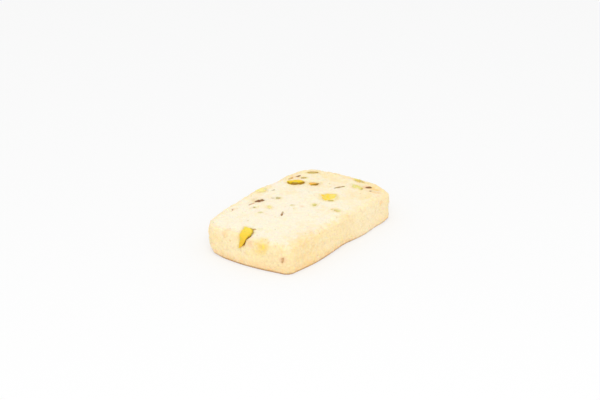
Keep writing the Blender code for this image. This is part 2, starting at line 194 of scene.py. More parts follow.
NUTS = in_metres(
    Chip,
    (UP, 13.6, 11.1, 5.2, 3.4, -48, YELLOW, YELLOW, 0.05, 0.9, (268, 0.55)),
    (UP, 16.3, 5.5, 3.4, 2.4, -58, AMBER, ORANGE, 0.2, 0.5, (320, 0.5)),
    (UP, 10.5, -5.0, 5.6, 5.2, -44, YELLOW, LEMON, 0.3),
    (UP, 8.5, -7.2, 1.8, 1.1, -50, OLIVE, GREEN, 0.25),
    (UP, 23.4, -7.1, 4.8, 2.6, 67, SOFT_GREEN, SOFT_GREEN, 0.38, None, (180, 1.15)),
    (UP, 23.9, -14.3, 3.6, 2.6, -30, TAN, AMBER, 0.5),
    (UP, -0.1, 7.8, 1.6, 1.4, -36, MOSS, OLIVE, 0.3),
    (UP, 2.6, -5.0, 1.9, 1.5, 37, GREEN, SOFT_GREEN, 0.38),
    (UP, -2.0, 0.5, 1.9, 1.7, -53, GREEN, GREEN, 0.45),
    (UP, 3.6, -13.4, 2.3, 1.6, -60, OLIVE, SOFT_GREEN, 0.4),
    (UP, 3.1, -11.6, 1.1, 0.9, -50, OLIVE, OLIVE, 0.5),
    (UP, 1.4, 16.1, 3.9, 2.4, -12, PALE, PALE, 0.3, 0.55),
    (UP, -7.5, 5.6, 2.2, 1.4, 37, PALE, SOFT_GREEN, 0.4),
    (UP, -12.6, 5.2, 2.2, 1.3, -50, GREEN, GREEN, 0.5),
    (UP, -10.7, 9.3, 1.1, 0.7, -50, MOSS, GREEN, 0.4),
    (UP, 18.8, 11.6, 1.9, 0.8, -40, MOSS, OLIVE, 0.1),
    (UP, 27.9, -4.8, 4.4, 1.4, 83, OLIVE, SOFT_GREEN, 0.25),
    (UP, 24.6, 12.0, 4.2, 1.3, -53, OLIVE, OLIVE, 0.2),
    (NEAR_END, -8.0, 7.9, 4.2, 3.6, 15, LEMON, LEMON, 0.45),
    (NEAR_END, 5.3, 8.4, 2.8, 2.0, 30, TAN, TAN, 0.7),
    (NEAR_END, -3.2, 4.9, 2.4, 1.6, 70, PALE, SOFT_GREEN, 0.75),
    (FRONT, -1.1, 2.6, 2.4, 1.5, 20, PALE, SOFT_GREEN, 0.75),
    (FRONT, -17.8, 5.7, 2.8, 1.9, 65, TAN, TAN, 0.8),
    (FRONT, 13.8, 5.3, 2.6, 1.7, -30, TAN, PALE, 0.8),
    (FRONT, 20.9, 7.6, 2.4, 1.6, 60, TAN, ORANGE, 0.6),
)
EDGE_NUT = in_metres(Chip, (UP, -28.4, -1.0, 9.6, 3.7, 14, GOLD, LEMON, 0.05, 0.6, (275, 1.0), 1.5, 0.3))[0]
SKINS = in_metres(
    Chip,
    (UP, 19.2, -3.0, 4.4, 1.1, -27, UMBER, UMBER, 0.2),
    (UP, 25.5, -10.5, 2.2, 1.6, -41, PLUM, COCOA, 0.05),
    (UP, 23.4, -12.8, 1.4, 0.9, -20, COCOA, UMBER, 0.35),
    (UP, -5.2, 11.2, 4.0, 1.9, -11, PLUM, COCOA, 0.05),
    (UP, -8.9, 11.8, 3.2, 0.8, -8, ROSE, ROSE, 0.4),
    (UP, -9.0, -0.7, 3.4, 0.9, 28, COCOA, UMBER, 0.25),
    (UP, 18.8, 13.8, 2.2, 0.8, -6, COCOA, COCOA, 0.1),
    (UP, 15.4, 14.5, 2.6, 0.9, -11, GOLDEN, GOLDEN, 0.15),
    (UP, 4.1, 13.0, 1.3, 0.8, -20, UMBER, UMBER, 0.35),
    (UP, -16.4, 13.8, 1.3, 0.6, 37, ROSE, UMBER, 0.35),
    (UP, -24.2, -0.9, 2.2, 0.8, -28, GOLDEN, UMBER, 0.1),
    (NEAR_END, -15.8, 5.2, 2.2, 1.1, 75, ROSE, ROSE, 0.42),
)
STAINS = in_metres(
    Stain,
    (-5.5, 12.0, 10, 3.6, 0.75, 0xE2BE78),
    (-8.6, 12.8, 10, 2.4, 0.5, 0xEFD4B0),
    (15.2, 8.2, 10, 3.4, 0.35, 0xEFD08C),
    (17.0, 13.6, 10, 3.0, 0.45, 0xE6B470),
    (10.5, -5.2, 10, 4.4, 0.6, 0xF3DA84),
    (2.6, -5.0, 10, 1.9, 0.4, 0xF0E090),
    (-0.8, -2.5, 10, 1.3, 0.35, 0xE6B58E),
    (-15.8, 13.9, 10, 1.4, 0.35, 0xE6B58E),
    (25.0, -9.6, 9.6, 2.8, 0.7, 0xE4A45C),
    (25.2, -12.4, 9, 4.2, 0.65, 0xF0BC50),
    (-22.9, -2.4, 10, 1.7, 0.4, 0xDCD890),
    (-28.8, 0.2, 7.2, 3.0, 0.25, 0xF2C888),
    (-28.8, -4.0, 7.9, 2.4, 0.45, 0xF0B088),
    (-28.8, -7.8, 8.0, 4.2, 0.75, 0xF2CC50),
    (-29.2, 5.3, 8.6, 2.8, 0.3, 0xF0B680),
    (-28.4, -16.0, 5.2, 2.2, 0.45, 0xE6B08C),
    (21.4, -18.2, 7.6, 3.0, 0.4, 0xEDA868),
    (3.2, -18.0, 9.6, 1.6, 0.35, 0xD8C078),
    (-20.0, -19.0, 6.5, 13, 0.4, 0xF4CE88),
    (14.0, -18.5, 5.0, 17, 0.6, 0xF8EBCB),
    (9.7, 15.8, 10, 4.5, 0.6, 0xF5ECE0),
    (17.0, -13.5, 10, 9.0, 0.5, 0xF6DDA0),
    (-29.0, 3.5, 5.5, 5.5, 0.65, 0xF6E6C0),
    (-29.0, -12.5, 5.5, 5.0, 0.4, 0xF6E2B4),
    (-27.4, -17.8, 9.2, 3.4, 0.5, 0xF6E9C8),
    (-1.1, 9.2, 10, 1.0, 0.7, 0xB8A878),
    (3.4, -12.8, 10, 3.0, 0.5, 0xF0DA98),
    (16.6, 4.6, 10, 3.4, 0.5, 0xEFC88C),
    (13.2, 10.4, 10, 4.6, 0.6, 0xF0DA80),
)

# Chips on the sides that face away: how many on the back and on the far end, and between what
# bounds each draws its numbers.
HIDDEN_NUTS, HIDDEN_SKINS = (7, 4), (3, 1)
HIDDEN_MARGIN = 5.0 * MM
HIDDEN_STRAY = (0.15, 0.85)
HIDDEN_HEIGHTS = (2.6 * MM, 7.4 * MM)
HIDDEN_LONG, HIDDEN_WIDE = (2.2 * MM, 4.6 * MM), (0.55, 0.8)
HIDDEN_VEIL = (0.3, 0.75)
HIDDEN_TINTS = (SOFT_YELLOW, SOFT_GREEN, TAN, AMBER, GREEN, PALE)

# What each point of a chip says: dark skin, dough on it, how covered the chip is, and top or wall.
CHIP_MARKS = ("bark", "crust", "veil", "wall")

CRUMB_SIZES = (
    "Lump Height",
    "Lump Size",
    "Grain Height",
    "Grain Size",
    "Pore Depth",
    "Pore Spacing",
    "Groove Depth",
    "Groove Width",
)
FLECK_INPUTS = ("Size", "Spacing", "Flatness", "First Colour", "Second Colour")
FLECK_STRETCH, FLECK_FLATNESS, DUST_FLATNESS = ((0.6, 0.45, 0.45), (1.5, 1.0, 0.8)), 0.7, 0.5
FLECK_SPIN = ((-0.4, -0.4, 0.0), (0.4, 0.4, 6.283))
FLECK_DENSITY = 400000.0  # to the square metre, so many that only the spacing between them counts

FLOOR_RADIUS = 6
LAMP_PLACE, LAMP_WIDTH = (-0.38, -0.3, 0.5), 0.35
AZIMUTH, ELEVATION = math.radians(-52.9), math.radians(24)
AIM, CAMERA_AWAY = Vector((20.6 * MM, 14.7 * MM, 0.05 * MM)), 569 * MM


def linear(srgb_hex):
    """A hex colour's three channels as linear light."""
    channels = [(srgb_hex >> shift & 255) / 255 for shift in (16, 8, 0)]
    return [c / 12.92 if c <= 0.04045 else ((c + 0.055) / 1.055) ** 2.4 for c in channels]


def colour(name, description, srgb_hex):
    """A setting that is a colour."""
    default = linear(srgb_hex)
    return FloatVectorProperty(
        name=name, description=description, subtype="COLOR", size=3, min=0, max=1, default=default
    )


def length(name, description, value, most):
    """A setting that is a length, given here in millimetres."""
    sizes = {"default": value * MM, "min": 0, "max": most * MM, "precision": 5}
    return FloatProperty(name=name, description=description, unit="LENGTH", subtype="DISTANCE", **sizes)


class DoughSettings(bpy.types.PropertyGroup):
    """The dough's colours and crumb."""

    top: colour("Top", "Pale colour of the upper face", 0xF5EBD2)
    wall: colour("Walls", "Golden colour of the walls", 0xF8E1AF)
    foot: colour("Foot", "Toasted colour low on the walls", 0xF0C48A)
    # Partly a brown-baked edge, partly painted contact shadow: the wall below 0.9 mm turns to this dark
    # brown.
    tray: colour("Tray line", "Browned colour where it touched the tray", 0x96602E)
    oil: colour("Oiled dough", "Colour of dough that a nut's oil has soaked", 0xE8D08A)
    # Partly the deeper colour of baked crumb, partly painted shade: pores and creases are coloured darker
    # with this.
    hollow_colour_and_shade: colour("Hollows", "Colour inside pores and creases", 0xD9B277)
    # Partly browning, partly painted shade: the inside of the crack is coloured darker than the dough round
    # it.
    crack: colour("Crack", "Browned colour inside the crack by the edge nut", 0xE8A42C)
    lump_height: length("Lump height", "Depth of the broad unevenness of the crumb", 0.26, 1)
    lump_size: length("Lump size", "Width of one lump", 2.6, 20)
    grain_height: length("Grain height", "Depth of the sandy grain", 0.17, 1)
    grain_size: length("Grain size", "Width of one grain", 1.0, 5)
    pore_depth: length("Pore depth", "Depth of a pore", 0.32, 2)
    pore_spacing: length("Pore spacing", "Distance between pores", 2.0, 20)
    groove_depth: length("Groove depth", "How far the dough sinks beside a nut", 0.22, 1)
    groove_width: length("Groove width", "How far from a nut the dough sinks", 0.4, 2)
    seed: IntProperty(name="Seed", description="Number that the crumb grows from", default=5, min=0)


class NutSettings(bpy.types.PropertyGroup):
    """The chopped kernels and the fine bits of nut."""

    bark: colour("Kernel skin", "Dark skin left on a kernel", 0x9C7004)
    rind: colour("Rind", "Green of the kernel just under its skin", 0xBCA004)
    fleck: colour("Pale fleck", "Colour of the fine bits of kernel", 0xECDCA0)
    green_fleck: colour("Green fleck", "Colour of the greener fine bits", 0xD6CC8C)
    dust: colour("Skin fleck", "Colour of the fine bits of skin", 0xD6B488)
    fleck_size: length("Fleck size", "Width of a fine bit of kernel", 0.5, 3)
    fleck_spacing: length("Fleck spacing", "Least distance between two of them", 9.0, 30)
    dust_size: length("Skin fleck size", "Width of a fine bit of skin", 0.32, 3)
    dust_spacing: length("Skin fleck spacing", "Least distance between two of them", 13.0, 30)
    seed: IntProperty(name="Seed", description="Number that scatters the fine bits", default=3, min=0)


class StageSettings(bpy.types.PropertyGroup):
    """The floor and the light."""

    floor: colour("Floor", "Colour of the floor", 0xAAAAAA)
    glow: FloatProperty(name="Glow", description="Light up through the floor", default=0.528, min=0)
    sky: FloatProperty(name="Sky", description="Strength of the even light all round", default=0.95, min=0)
    lamp: FloatProperty(
        name="Lamp", description="Power of the soft lamp", subtype="POWER", default=1.2, min=0
    )


# Settings that many nodes share.
PLUS, TIMES = {"operation": "ADD"}, {"operation": "MULTIPLY"}
SMOOTH, RGBA = {"interpolation_type": "SMOOTHSTEP"}, {"data_type": "RGBA"}


def connect(node, inputs):
    """Gives a node's sockets, by name or in the order it shows them, a value or what feeds them."""
    if isinstance(inputs, dict):
        pairs = [(node.inputs[name], value) for name, value in inputs.items()]
    else:
        pairs = zip([socket for socket in node.inputs if socket.enabled], inputs)
    for socket, value in pairs:
        if isinstance(value, bpy.types.NodeSocket):
            node.id_data.links.new(value, socket)
        else:
            socket.default_value = (*value, 1.0) if socket.type == "RGBA" else value


def add_node(tree, kind, inputs=(), out=None, **settings):
    """Adds a node with its inputs and its own settings. Gives its output named out, or its first.

    kind leaves out "ShaderNode"."""
    node = tree.nodes.new(kind if "Node" in kind else "ShaderNode" + kind)
    for name, value in settings.items():
        setattr(node, name, value)
    connect(node, inputs)
    if out:
        return node.outputs[out]
    return next((socket for socket in node.outputs if socket.enabled), None)


def new_material(name):
    """An empty material, its shader, and what adds a node to it."""
    material = bpy.data.materials.new(name)
    material.use_nodes = True
    tree = material.node_tree
    return material, tree.nodes["Principled BSDF"], partial(add_node, tree)


def shortbread():
    """Shortbread: flour, butter and sugar baked pale. The eye sees a dull sandy crumb with fine
    pores, cream on top, golden on the cut walls and deeper towards the foot, and a little light
    passes through it. Its pores, creases and crack are darker, partly in baked colour and partly as
    painted shade, and the dark brown band at the very foot is a brown-baked edge and painted contact
    shadow together."""
    material, shader, add = new_material("baked shortbread")
    look = bpy.context.scene.biscuit_dough
    place = add("TexCoord", out="Object")
    along, _, height = add("SeparateXYZ", (place,)).node.outputs
    marks = ("wall", "pore", "crease", "crack", "oil")
    wall, pore, crease, crack, oil = [add("Attribute", out="Fac", attribute_name=mark) for mark in marks]
    stain = add("Attribute", attribute_name="stain").node.outputs

    # Broad cloud of 7 mm, mottles of 1.8 mm, a grain of 0.45 mm, and one of 0.3 mm for the bump.
    cloud, mottle, grain, fine = [
        add("TexNoise", {"Vector": place, "Scale": 1 / (width * MM), "Detail": detail})
        for width, detail in ((7, 2), (1.8, 3), (0.45, 2), (0.3, 2))
    ]

    # The walls are golden, in blotches, and deeper in colour towards the foot. Where they met the tray a dark
    # brown band runs along the foot, a brown-baked edge and painted contact shadow together.
    blotch = add("Math", (cloud, mottle), **TIMES)
    blotch = add("MapRange", (blotch, 0.15, 0.38, -0.3, 0.35))
    # The dough turns more golden towards the far end.
    farther = add("MapRange", (along, -8 * MM, 28 * MM, 0, 0.55), **SMOOTH)
    golden = add("Math", (wall, blotch), **PLUS)
    golden = add("Math", (golden, farther), use_clamp=True, **PLUS)
    uneven = add("MapRange", (mottle, 0.35, 0.65, 0.5, 1.2))
    low = add("MapRange", (height, 3.2 * MM, 0, 0, 0.75), **SMOOTH)
    low = add("Math", (low, uneven), use_clamp=True, **TIMES)
    # Painted contact shadow, with a brown-baked edge: dark brown below 0.9 mm.
    baked_edge_and_shadow = add("MapRange", (height, 0.9 * MM, 0.2 * MM, 0, 0.9))

    # Stains and oil from the pistachios, and the darker colour inside pores, creases and the crack: partly
    # their deeper baked colour, partly painted shade.
    stained = add("Math", (stain["Alpha"], uneven), **TIMES)
    oily = add("Math", (oil, 0.55), **TIMES)
    creased = add("MapRange", (wall, 0, 1, 0.06, 0.16))
    creased = add("Math", (crease, creased), **TIMES)
    # Painted shade, with some deeper baked colour: darker in the pores and in the creases between grains,
    # more so on the walls.
    hollow_colour_and_shade = add("Math", (pore, 0.45), **TIMES)
    hollow_colour_and_shade = add("Math", (hollow_colour_and_shade, creased), operation="MAXIMUM")
    # Painted shade inside the crack, with some browning.
    crack_colour_and_shade = add("Math", (crack, 0.85), **TIMES)

    # Each colour lies over the ones before it, as far as its share says.
    base = look.top
    for share, over in (
        (golden, look.wall),
        (low, look.foot),
        (baked_edge_and_shadow, look.tray),
        (stained, stain["Color"]),
        (oily, look.oil),
        (hollow_colour_and_shade, look.hollow_colour_and_shade),
        (crack_colour_and_shade, look.crack),
    ):
        base = add("Mix", (share, base, over), **RGBA)
    shade = add("MapRange", (grain, 0.3, 0.7, 0.93, 1.04))
    base = add("HueSaturation", {"Color": base, "Value": shade})
    connect(
        shader,
        {
            "Base Color": base,
            "Roughness": add("MapRange", (mottle, 0.3, 0.7, 0.7, 0.9)),
            "Normal": add("Bump", {"Strength": 0.8, "Distance": 0.09 * MM, "Height": fine}),
            "IOR": 1.45,
            "Specular IOR Level": 0.25,
            "Subsurface Weight": 0.3,
            "Subsurface Radius": (1.0, 0.6, 0.25),
            "Subsurface Scale": 0.8 * MM,
        },
    )
    return material


def dusted(add, base, breakup):
    """The piece's colour with the dough that still clings to it, by the attribute crust. The
    piece shows a little through that dough."""
    look = bpy.context.scene.biscuit_dough
    crust, wall = [add("Attribute", out="Fac", attribute_name=name) for name in ("crust", "wall")]
    ragged = add("MapRange", (breakup, 0.3, 0.7, -0.25, 0.25))
    cover = add("Math", (crust, ragged), **PLUS)
    cover = add("MapRange", (cover, 0.1, 0.9, 0, 1), **SMOOTH)
    dough = add("Mix", (wall, look.top, look.wall), **RGBA)
    crumb = add("Mix", (0.35, dough, base), **RGBA)
    return add("Mix", (cover, base, crumb), **RGBA)


def kernel():
    """Pistachio kernel, chopped and oven-roasted: firm oily flesh from yellow to green. The eye
    sees clear colour with a soft waxy gloss, and along some sides a green rind and dark skin."""
    material, shader, add = new_material("roasted pistachio kernel")
    look = bpy.context.scene.biscuit_nuts
    place = add("TexCoord", out="Object")
    tint = add("Attribute", out="Color", attribute_name="tint")
    bark = add("Attribute", out="Fac", attribute_name="bark")

    # The flesh clouds over about 1.1 mm; the cut face is rough at 0.3 mm.
    cloud, rough = [
        add("TexNoise", {"Vector": place, "Scale": 1 / (width * MM), "Detail": detail})
        for width, detail in ((1.1, 3), (0.3, 2))
    ]
    hue = add("MapRange", (cloud, 0.3, 0.7, 0.485, 0.52))
    shade = add("MapRange", (cloud, 0.3, 0.7, 1.12, 0.8))
    base = add("HueSaturation", {"Color": tint, "Hue": hue, "Value": shade})
    ragged = add("MapRange", (cloud, 0.3, 0.7, -0.25, 0.25))
    near_skin = add("MapRange", (bark, 0, 0.5, 0, 0.8))
    skin = add("Math", (bark, ragged), **PLUS)
    skin = add("MapRange", (skin, 0.5, 0.85, 0, 0.9), **SMOOTH)
    for share, over in ((near_skin, look.rind), (skin, look.bark)):
        base = add("Mix", (share, base, over), **RGBA)
    connect(
        shader,
        {
            "Base Color": dusted(add, base, cloud),
            "Roughness": add("MapRange", (rough, 0.3, 0.7, 0.42, 0.62)),
            "Normal": add("Bump", {"Strength": 0.5, "Distance": 0.04 * MM, "Height": rough}),
            "IOR": 1.47,
            "Specular IOR Level": 0.25,
            "Subsurface Weight": 0.15,
            "Subsurface Radius": (1.0, 0.8, 0.2),
            "Subsurface Scale": 0.5 * MM,
        },
    )
    return material


def papery_skin():
    """Pistachio skin: a thin papery husk that bakes brown to plum. The eye sees a dull wrinkled
    scrap, with painted shade along its creases."""
    material, shader, add = new_material("papery pistachio skin")
    place = add("TexCoord", out="Object")
    tint = add("Attribute", out="Color", attribute_name="tint")

    # Creases 0.35 mm apart; the dough clings to it in patches of 1.3 mm.
    crease, patch = [
        add("TexNoise", {"Vector": place, "Scale": 1 / (width * MM), "Detail": detail})
        for width, detail in ((0.35, 2), (1.3, 1))
    ]
    # Painted shade: the scrap is darker where its creases sink and lighter where they rise.
    shade = add("MapRange", (crease, 0.3, 0.7, 0.75, 1.2))
    base = add("HueSaturation", {"Color": tint, "Value": shade})
    connect(
        shader,
        {
            "Base Color": dusted(add, base, patch),
            "Normal": add("Bump", {"Strength": 0.6, "Distance": 0.05 * MM, "Height": crease}),
            "Roughness": 0.7,
            "Specular IOR Level": 0.25,
        },
    )
    return material


def link_mesh(name, mesh):
    thing = bpy.data.objects.new(name, mesh)
    bpy.context.scene.collection.objects.link(thing)
    return thing


def apply_modifier(thing, modifier):
    """Makes what the modifier gives the object's plain mesh, and removes the modifier."""
    bpy.context.view_layer.update()
    graph = bpy.context.evaluated_depsgraph_get()
    made = bpy.data.meshes.new_from_object(
        thing.evaluated_get(graph), preserve_all_data_layers=True, depsgraph=graph
    )
    thing.modifiers.remove(modifier)
    thing.data = made
    made.name = thing.name


def run_tree(name, mesh, tree, values):
    """A new object whose mesh is what the tree makes of this one, with nothing live left on it."""
    thing = link_mesh(name, mesh)
    modifier = thing.modifiers.new(tree.name, "NODES")
    modifier.node_group = tree
    for item in tree.interface.items_tree:
        if item.in_out == "INPUT" and item.name in values:
            modifier[item.identifier] = values[item.name]
    apply_modifier(thing, modifier)
    return thing


def new_tree(name, **sockets):
    """A Geometry Nodes tree that takes and gives geometry, its inputs, and what adds a node to it.

    sockets names the tree's other inputs, by their kind."""
    tree = bpy.data.node_groups.new(name, "GeometryNodeTree")
    for way in ("INPUT", "OUTPUT"):
        tree.interface.new_socket("Geometry", in_out=way, socket_type="NodeSocketGeometry")
    for kind, names in sockets.items():
        for socket in names:
            tree.interface.new_socket(socket, in_out="INPUT", socket_type="NodeSocket" + kind)
    add = partial(add_node, tree)
    return tree, add("NodeGroupInput").node.outputs, add


def end_tree(add, shape, material):
    """Ends a tree in real geometry of this material."""
    shape = add("GeometryNodeRealizeInstances", {"Geometry": shape})
    shape = add("GeometryNodeSetMaterial", {"Geometry": shape, "Material": material})
    add("NodeGroupOutput", {"Geometry": shape})


def round_corner(u, v, inset):
    """Moves a point of the square-cornered plan, which is inset all round, to the rounded one."""
    half_x, half_y = HALF_PLAN[0] - inset, HALF_PLAN[1] - inset
    quarter = (1 if u > 0 else -1, 1 if v > 0 else -1)
    radius = CORNERS[quarter].radius - inset
    along = (abs(u) * half_x - (half_x - radius)) / radius
    across = (abs(v) * half_y - (half_y - radius)) / radius
    x, y = abs(u) * half_x, abs(v) * half_y
    if along > 0 and across > 0:
        x = half_x - radius + radius * along * math.sqrt(1 - across**2 / 2)
        y = half_y - radius + radius * across * math.sqrt(1 - along**2 / 2)
    return quarter[0] * x, quarter[1] * y


def bowed(x, y):
    """Moves a point of the plain plan to the real one, with its own corners and bowed sides."""
    s, t = x / HALF_PLAN[0], y / HALF_PLAN[1]
    place = Vector((0, 0))
    for (side_x, side_y), corner in CORNERS.items():
        share = (1 + side_x * s) * (1 + side_y * t) / 4
        place += share * Vector((corner.x, corner.y))
    place.x += (BOW_FAR_END * (1 + s) - BOW_NEAR_END * (1 - s)) / 2 * (1 - t * t)
    place.y += (BOW_BACK * (1 + t) - BOW_FRONT * (1 - t)) / 2 * (1 - s * s)
    return place


def plan_point(u, v, inset=0.0):
    """The plan at u and v, from -1 to 1 across the slab, drawn in by inset at its edge."""
    return bowed(*round_corner(u, v, inset))


def near_corner(place, amount):
    """What a corner's tuck, lean or droop comes to at this place: it fades out with distance."""
    found = 0.0
    for corner in CORNERS.values():
        away = (place - Vector((corner.x, corner.y))).length / CORNER_REACH
        if away < 1:
            found += getattr(corner, amount) * (1 - away * away * (3 - 2 * away))
    return found


def top_height(place):
    """The height of the upper face over a point of the plan."""
    s, t = place.x / HALF_PLAN[0], place.y / HALF_PLAN[1]
    swell = TOP_SWELL * noise.noise(place.to_3d() / SWELL_WIDTH)
    ripple = TOP_RIPPLE * noise.noise(place.to_3d() / RIPPLE_WIDTH + UP)
    dome = TOP_DOME * (s * s + t * t) / 2
    return THICKNESS - dome - near_corner(place, "droop") + swell + ripple


def wall_profile(place):
    """(inset, height as a part of the slab's) for each ring of the wall, from the crown down."""
    rings = []
    for step in range(1, CROWN_STEPS + 1):
        angle = math.pi / 2 * step / CROWN_STEPS
        down = CROWN_DOWN / THICKNESS * (1 - math.cos(angle))
        rings.append((CROWN_IN * (1 - math.sin(angle)), 1 - down))
    tuck, lean = near_corner(place, "tuck"), near_corner(place, "lean")
    foot_in, foot_up = FOOT_IN + tuck, FOOT_UP + TUCK_UP * tuck
    upper, lower = 1 - CROWN_DOWN / THICKNESS, foot_up / THICKNESS
    for step in range(1, WALL_STEPS + 1):
        down = step / WALL_STEPS
        rings.append((lean * down - BELLY * math.sin(math.pi * down), upper + (lower - upper) * down))
    for step in range(1, FOOT_STEPS + 1):
        angle = math.pi / 2 * step / FOOT_STEPS
        rings.append((lean + foot_in * (1 - math.cos(angle)), lower * (1 - math.sin(angle))))
    return rings


def clamped(share):
    """The share, held between 0 and 1."""
    return min(max(share, 0), 1)


def wall_swell(place, height):
    """How far the wall stands out at this place: nothing at the crown and at the foot."""
    fade = math.sin(math.pi * clamped(height / THICKNESS))
    return WALL_SWELL * fade * noise.noise(Vector((place.x, place.y, height)) / WALL_WIDTH)


def slab_mesh():
    """The dough before its crumb: a grid over the top, rings down the wall and under it.

    The point attribute wall is 0 on the top and 1 on the wall, with the crown between them."""
    across, along = CELLS
    shape = bmesh.new()
    side = shape.verts.layers.float.new("wall")
    grid = {}
    for i in range(across + 1):
        for j in range(along + 1):
            u, v = 2 * i / across - 1, 2 * j / along - 1
            place = plan_point(u, v, CROWN_IN)
            grid[i, j] = shape.verts.new((*place, top_height(place)))
            inside = min((1 - abs(u)) * HALF_PLAN[0], (1 - abs(v)) * HALF_PLAN[1]) / GOLDEN_RIM
            grid[i, j][side] = RIM_SHARE * max(1 - inside, 0) ** 2
    for i in range(across):
        for j in range(along):
            shape.faces.new((grid[i, j], grid[i + 1, j], grid[i + 1, j + 1], grid[i, j + 1]))

    # The grid's outer points in order, counterclockwise from above.
    rim = [(i, 0) for i in range(across)] + [(across, j) for j in range(along)]
    rim += [(i, along) for i in range(across, 0, -1)] + [(0, j) for j in range(along, 0, -1)]
    columns = []
    for i, j in rim:
        u, v = 2 * i / across - 1, 2 * j / along - 1
        crown, edge = grid[i, j], plan_point(u, v)
        outward = (edge - plan_point(u, v, CROWN_IN)).normalized()
        column = [crown]
        for ring, (inset, part) in enumerate(wall_profile(edge), 1):
            height = part * crown.co.z
            place = plan_point(u, v, inset) + outward * wall_swell(edge, height)
            vert = shape.verts.new((*place, height))
            vert[side] = RIM_SHARE + (1 - RIM_SHARE) * min(ring / CROWN_STEPS, 1)
            column.append(vert)
        for ring in range(1, UNDER_RINGS):
            vert = shape.verts.new((*(place * (1 - ring / UNDER_RINGS)), 0))
            vert[side] = 1
            column.append(vert)
        columns.append(column)
    for near, far in zip(columns, columns[1:] + columns[:1]):
        for upper in range(len(near) - 1):
            shape.faces.new((near[upper], near[upper + 1], far[upper + 1], far[upper]))
    underside = shape.faces.new([column[-1] for column in reversed(columns)])
    middle = bmesh.ops.poke(shape, faces=[underside])["verts"][0]
    middle[side] = 1
    bmesh.ops.recalc_face_normals(shape, faces=shape.faces)
    return shape


def pushed(place):
    """Where the pushes take a point of the slab."""
    moved = place.copy()
    for push in PUSHES:
        away = sum(((a / MM - b) / reach) ** 2 for a, b, reach in zip(place, push.place, push.reach))
        if away < 1:
            moved += (1 - away) ** 2 * MM * Vector(push.move)
    return moved


class Workbench:
    """What the operators share: the plain slab, its surface, how far it slides to the solid's
    foot, what draws the chips' numbers, and the chips that lie under the dough."""

    slab = None
    surface = None
    slide = None
    draw = None
    buried = []


def foot_middle(verts):
    """The middle of a mesh's foot, along each axis of the plan."""
    foot = [vert.co for vert in verts if vert.co.z < TOUCHING]
    return [(min(p[axis] for p in foot) + max(p[axis] for p in foot)) / 2 for axis in (0, 1)]


def prepare_slab():
    """Makes the plain slab once, and finds the slide that puts its foot on the solid's foot."""
    if Workbench.slab is not None:
        return
    Workbench.slab = slab_mesh()
    Workbench.slab.faces.ensure_lookup_table()
    packed = foot_middle(frame["nodes"]["biscuit"].data.vertices)
    own = foot_middle(Workbench.slab.verts)
    Workbench.slide = Vector((packed[0] - own[0], packed[1] - own[1], 0))
    for vert in Workbench.slab.verts:
        vert.co = pushed(vert.co)
    Workbench.surface = BVHTree.FromBMesh(Workbench.slab)
    Workbench.draw = random.Random(SEED)


def finish_piece(thing, material):
    """Gives a made piece its one material and its ride."""
    thing.data.materials.clear()
    thing.data.materials.append(material)
    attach(thing, "root")


def chip_frame(chip):
    """Where the chip sits on the dough: its third axis straight out, its first turned from level."""
    if chip.side == UP:
        inside, level = Vector((chip.first, chip.second, THICKNESS / 2)), FAR_END
    elif chip.side in (FRONT, BACK):
        inside, level = Vector((chip.first, 0, chip.second)), UP.cross(chip.side)
    else:
        inside, level = Vector((0, chip.first, chip.second)), UP.cross(chip.side)
    place = Workbench.surface.ray_cast(inside, chip.side)[0]
    turned = Matrix((level, chip.side.cross(level), chip.side)).transposed().to_4x4()
    return Matrix.Translation(place) @ turned @ Matrix.Rotation(math.radians(chip.turn), 4, "Z")


def bent_down(flat):
    """A point above the top that lies beyond the near end's wall, laid down along that wall."""
    wall = Workbench.surface.ray_cast(Vector((0, flat.y, THICKNESS / 2)), NEAR_END)[0]
    beyond = max(wall.x - flat.x, 0)
    return flat + Vector((beyond, 0, -beyond))


def chopped(direction, cuts):
    """How far out a chopped piece reaches this way, from 0 to 1: the nearest of its flat cuts."""
    reach = 1.0
    for cut, depth in cuts:
        facing = cut.dot(direction)
        if facing > FACING:
            reach = min(reach, depth / facing)
    return reach


def opaque_mix(first, second, share):
    """The colour this far from the first to the second, as linear light with its alpha."""
    return *(a + (b - a) * share for a, b in zip(linear(first), linear(second))), 1.0


def new_chips():
    """An empty mesh that takes chips with their colours."""
    shape = bmesh.new()
    shape.verts.layers.float_color.new("tint")
    for name in CHIP_MARKS:
        shape.verts.layers.float.new(name)
    return shape


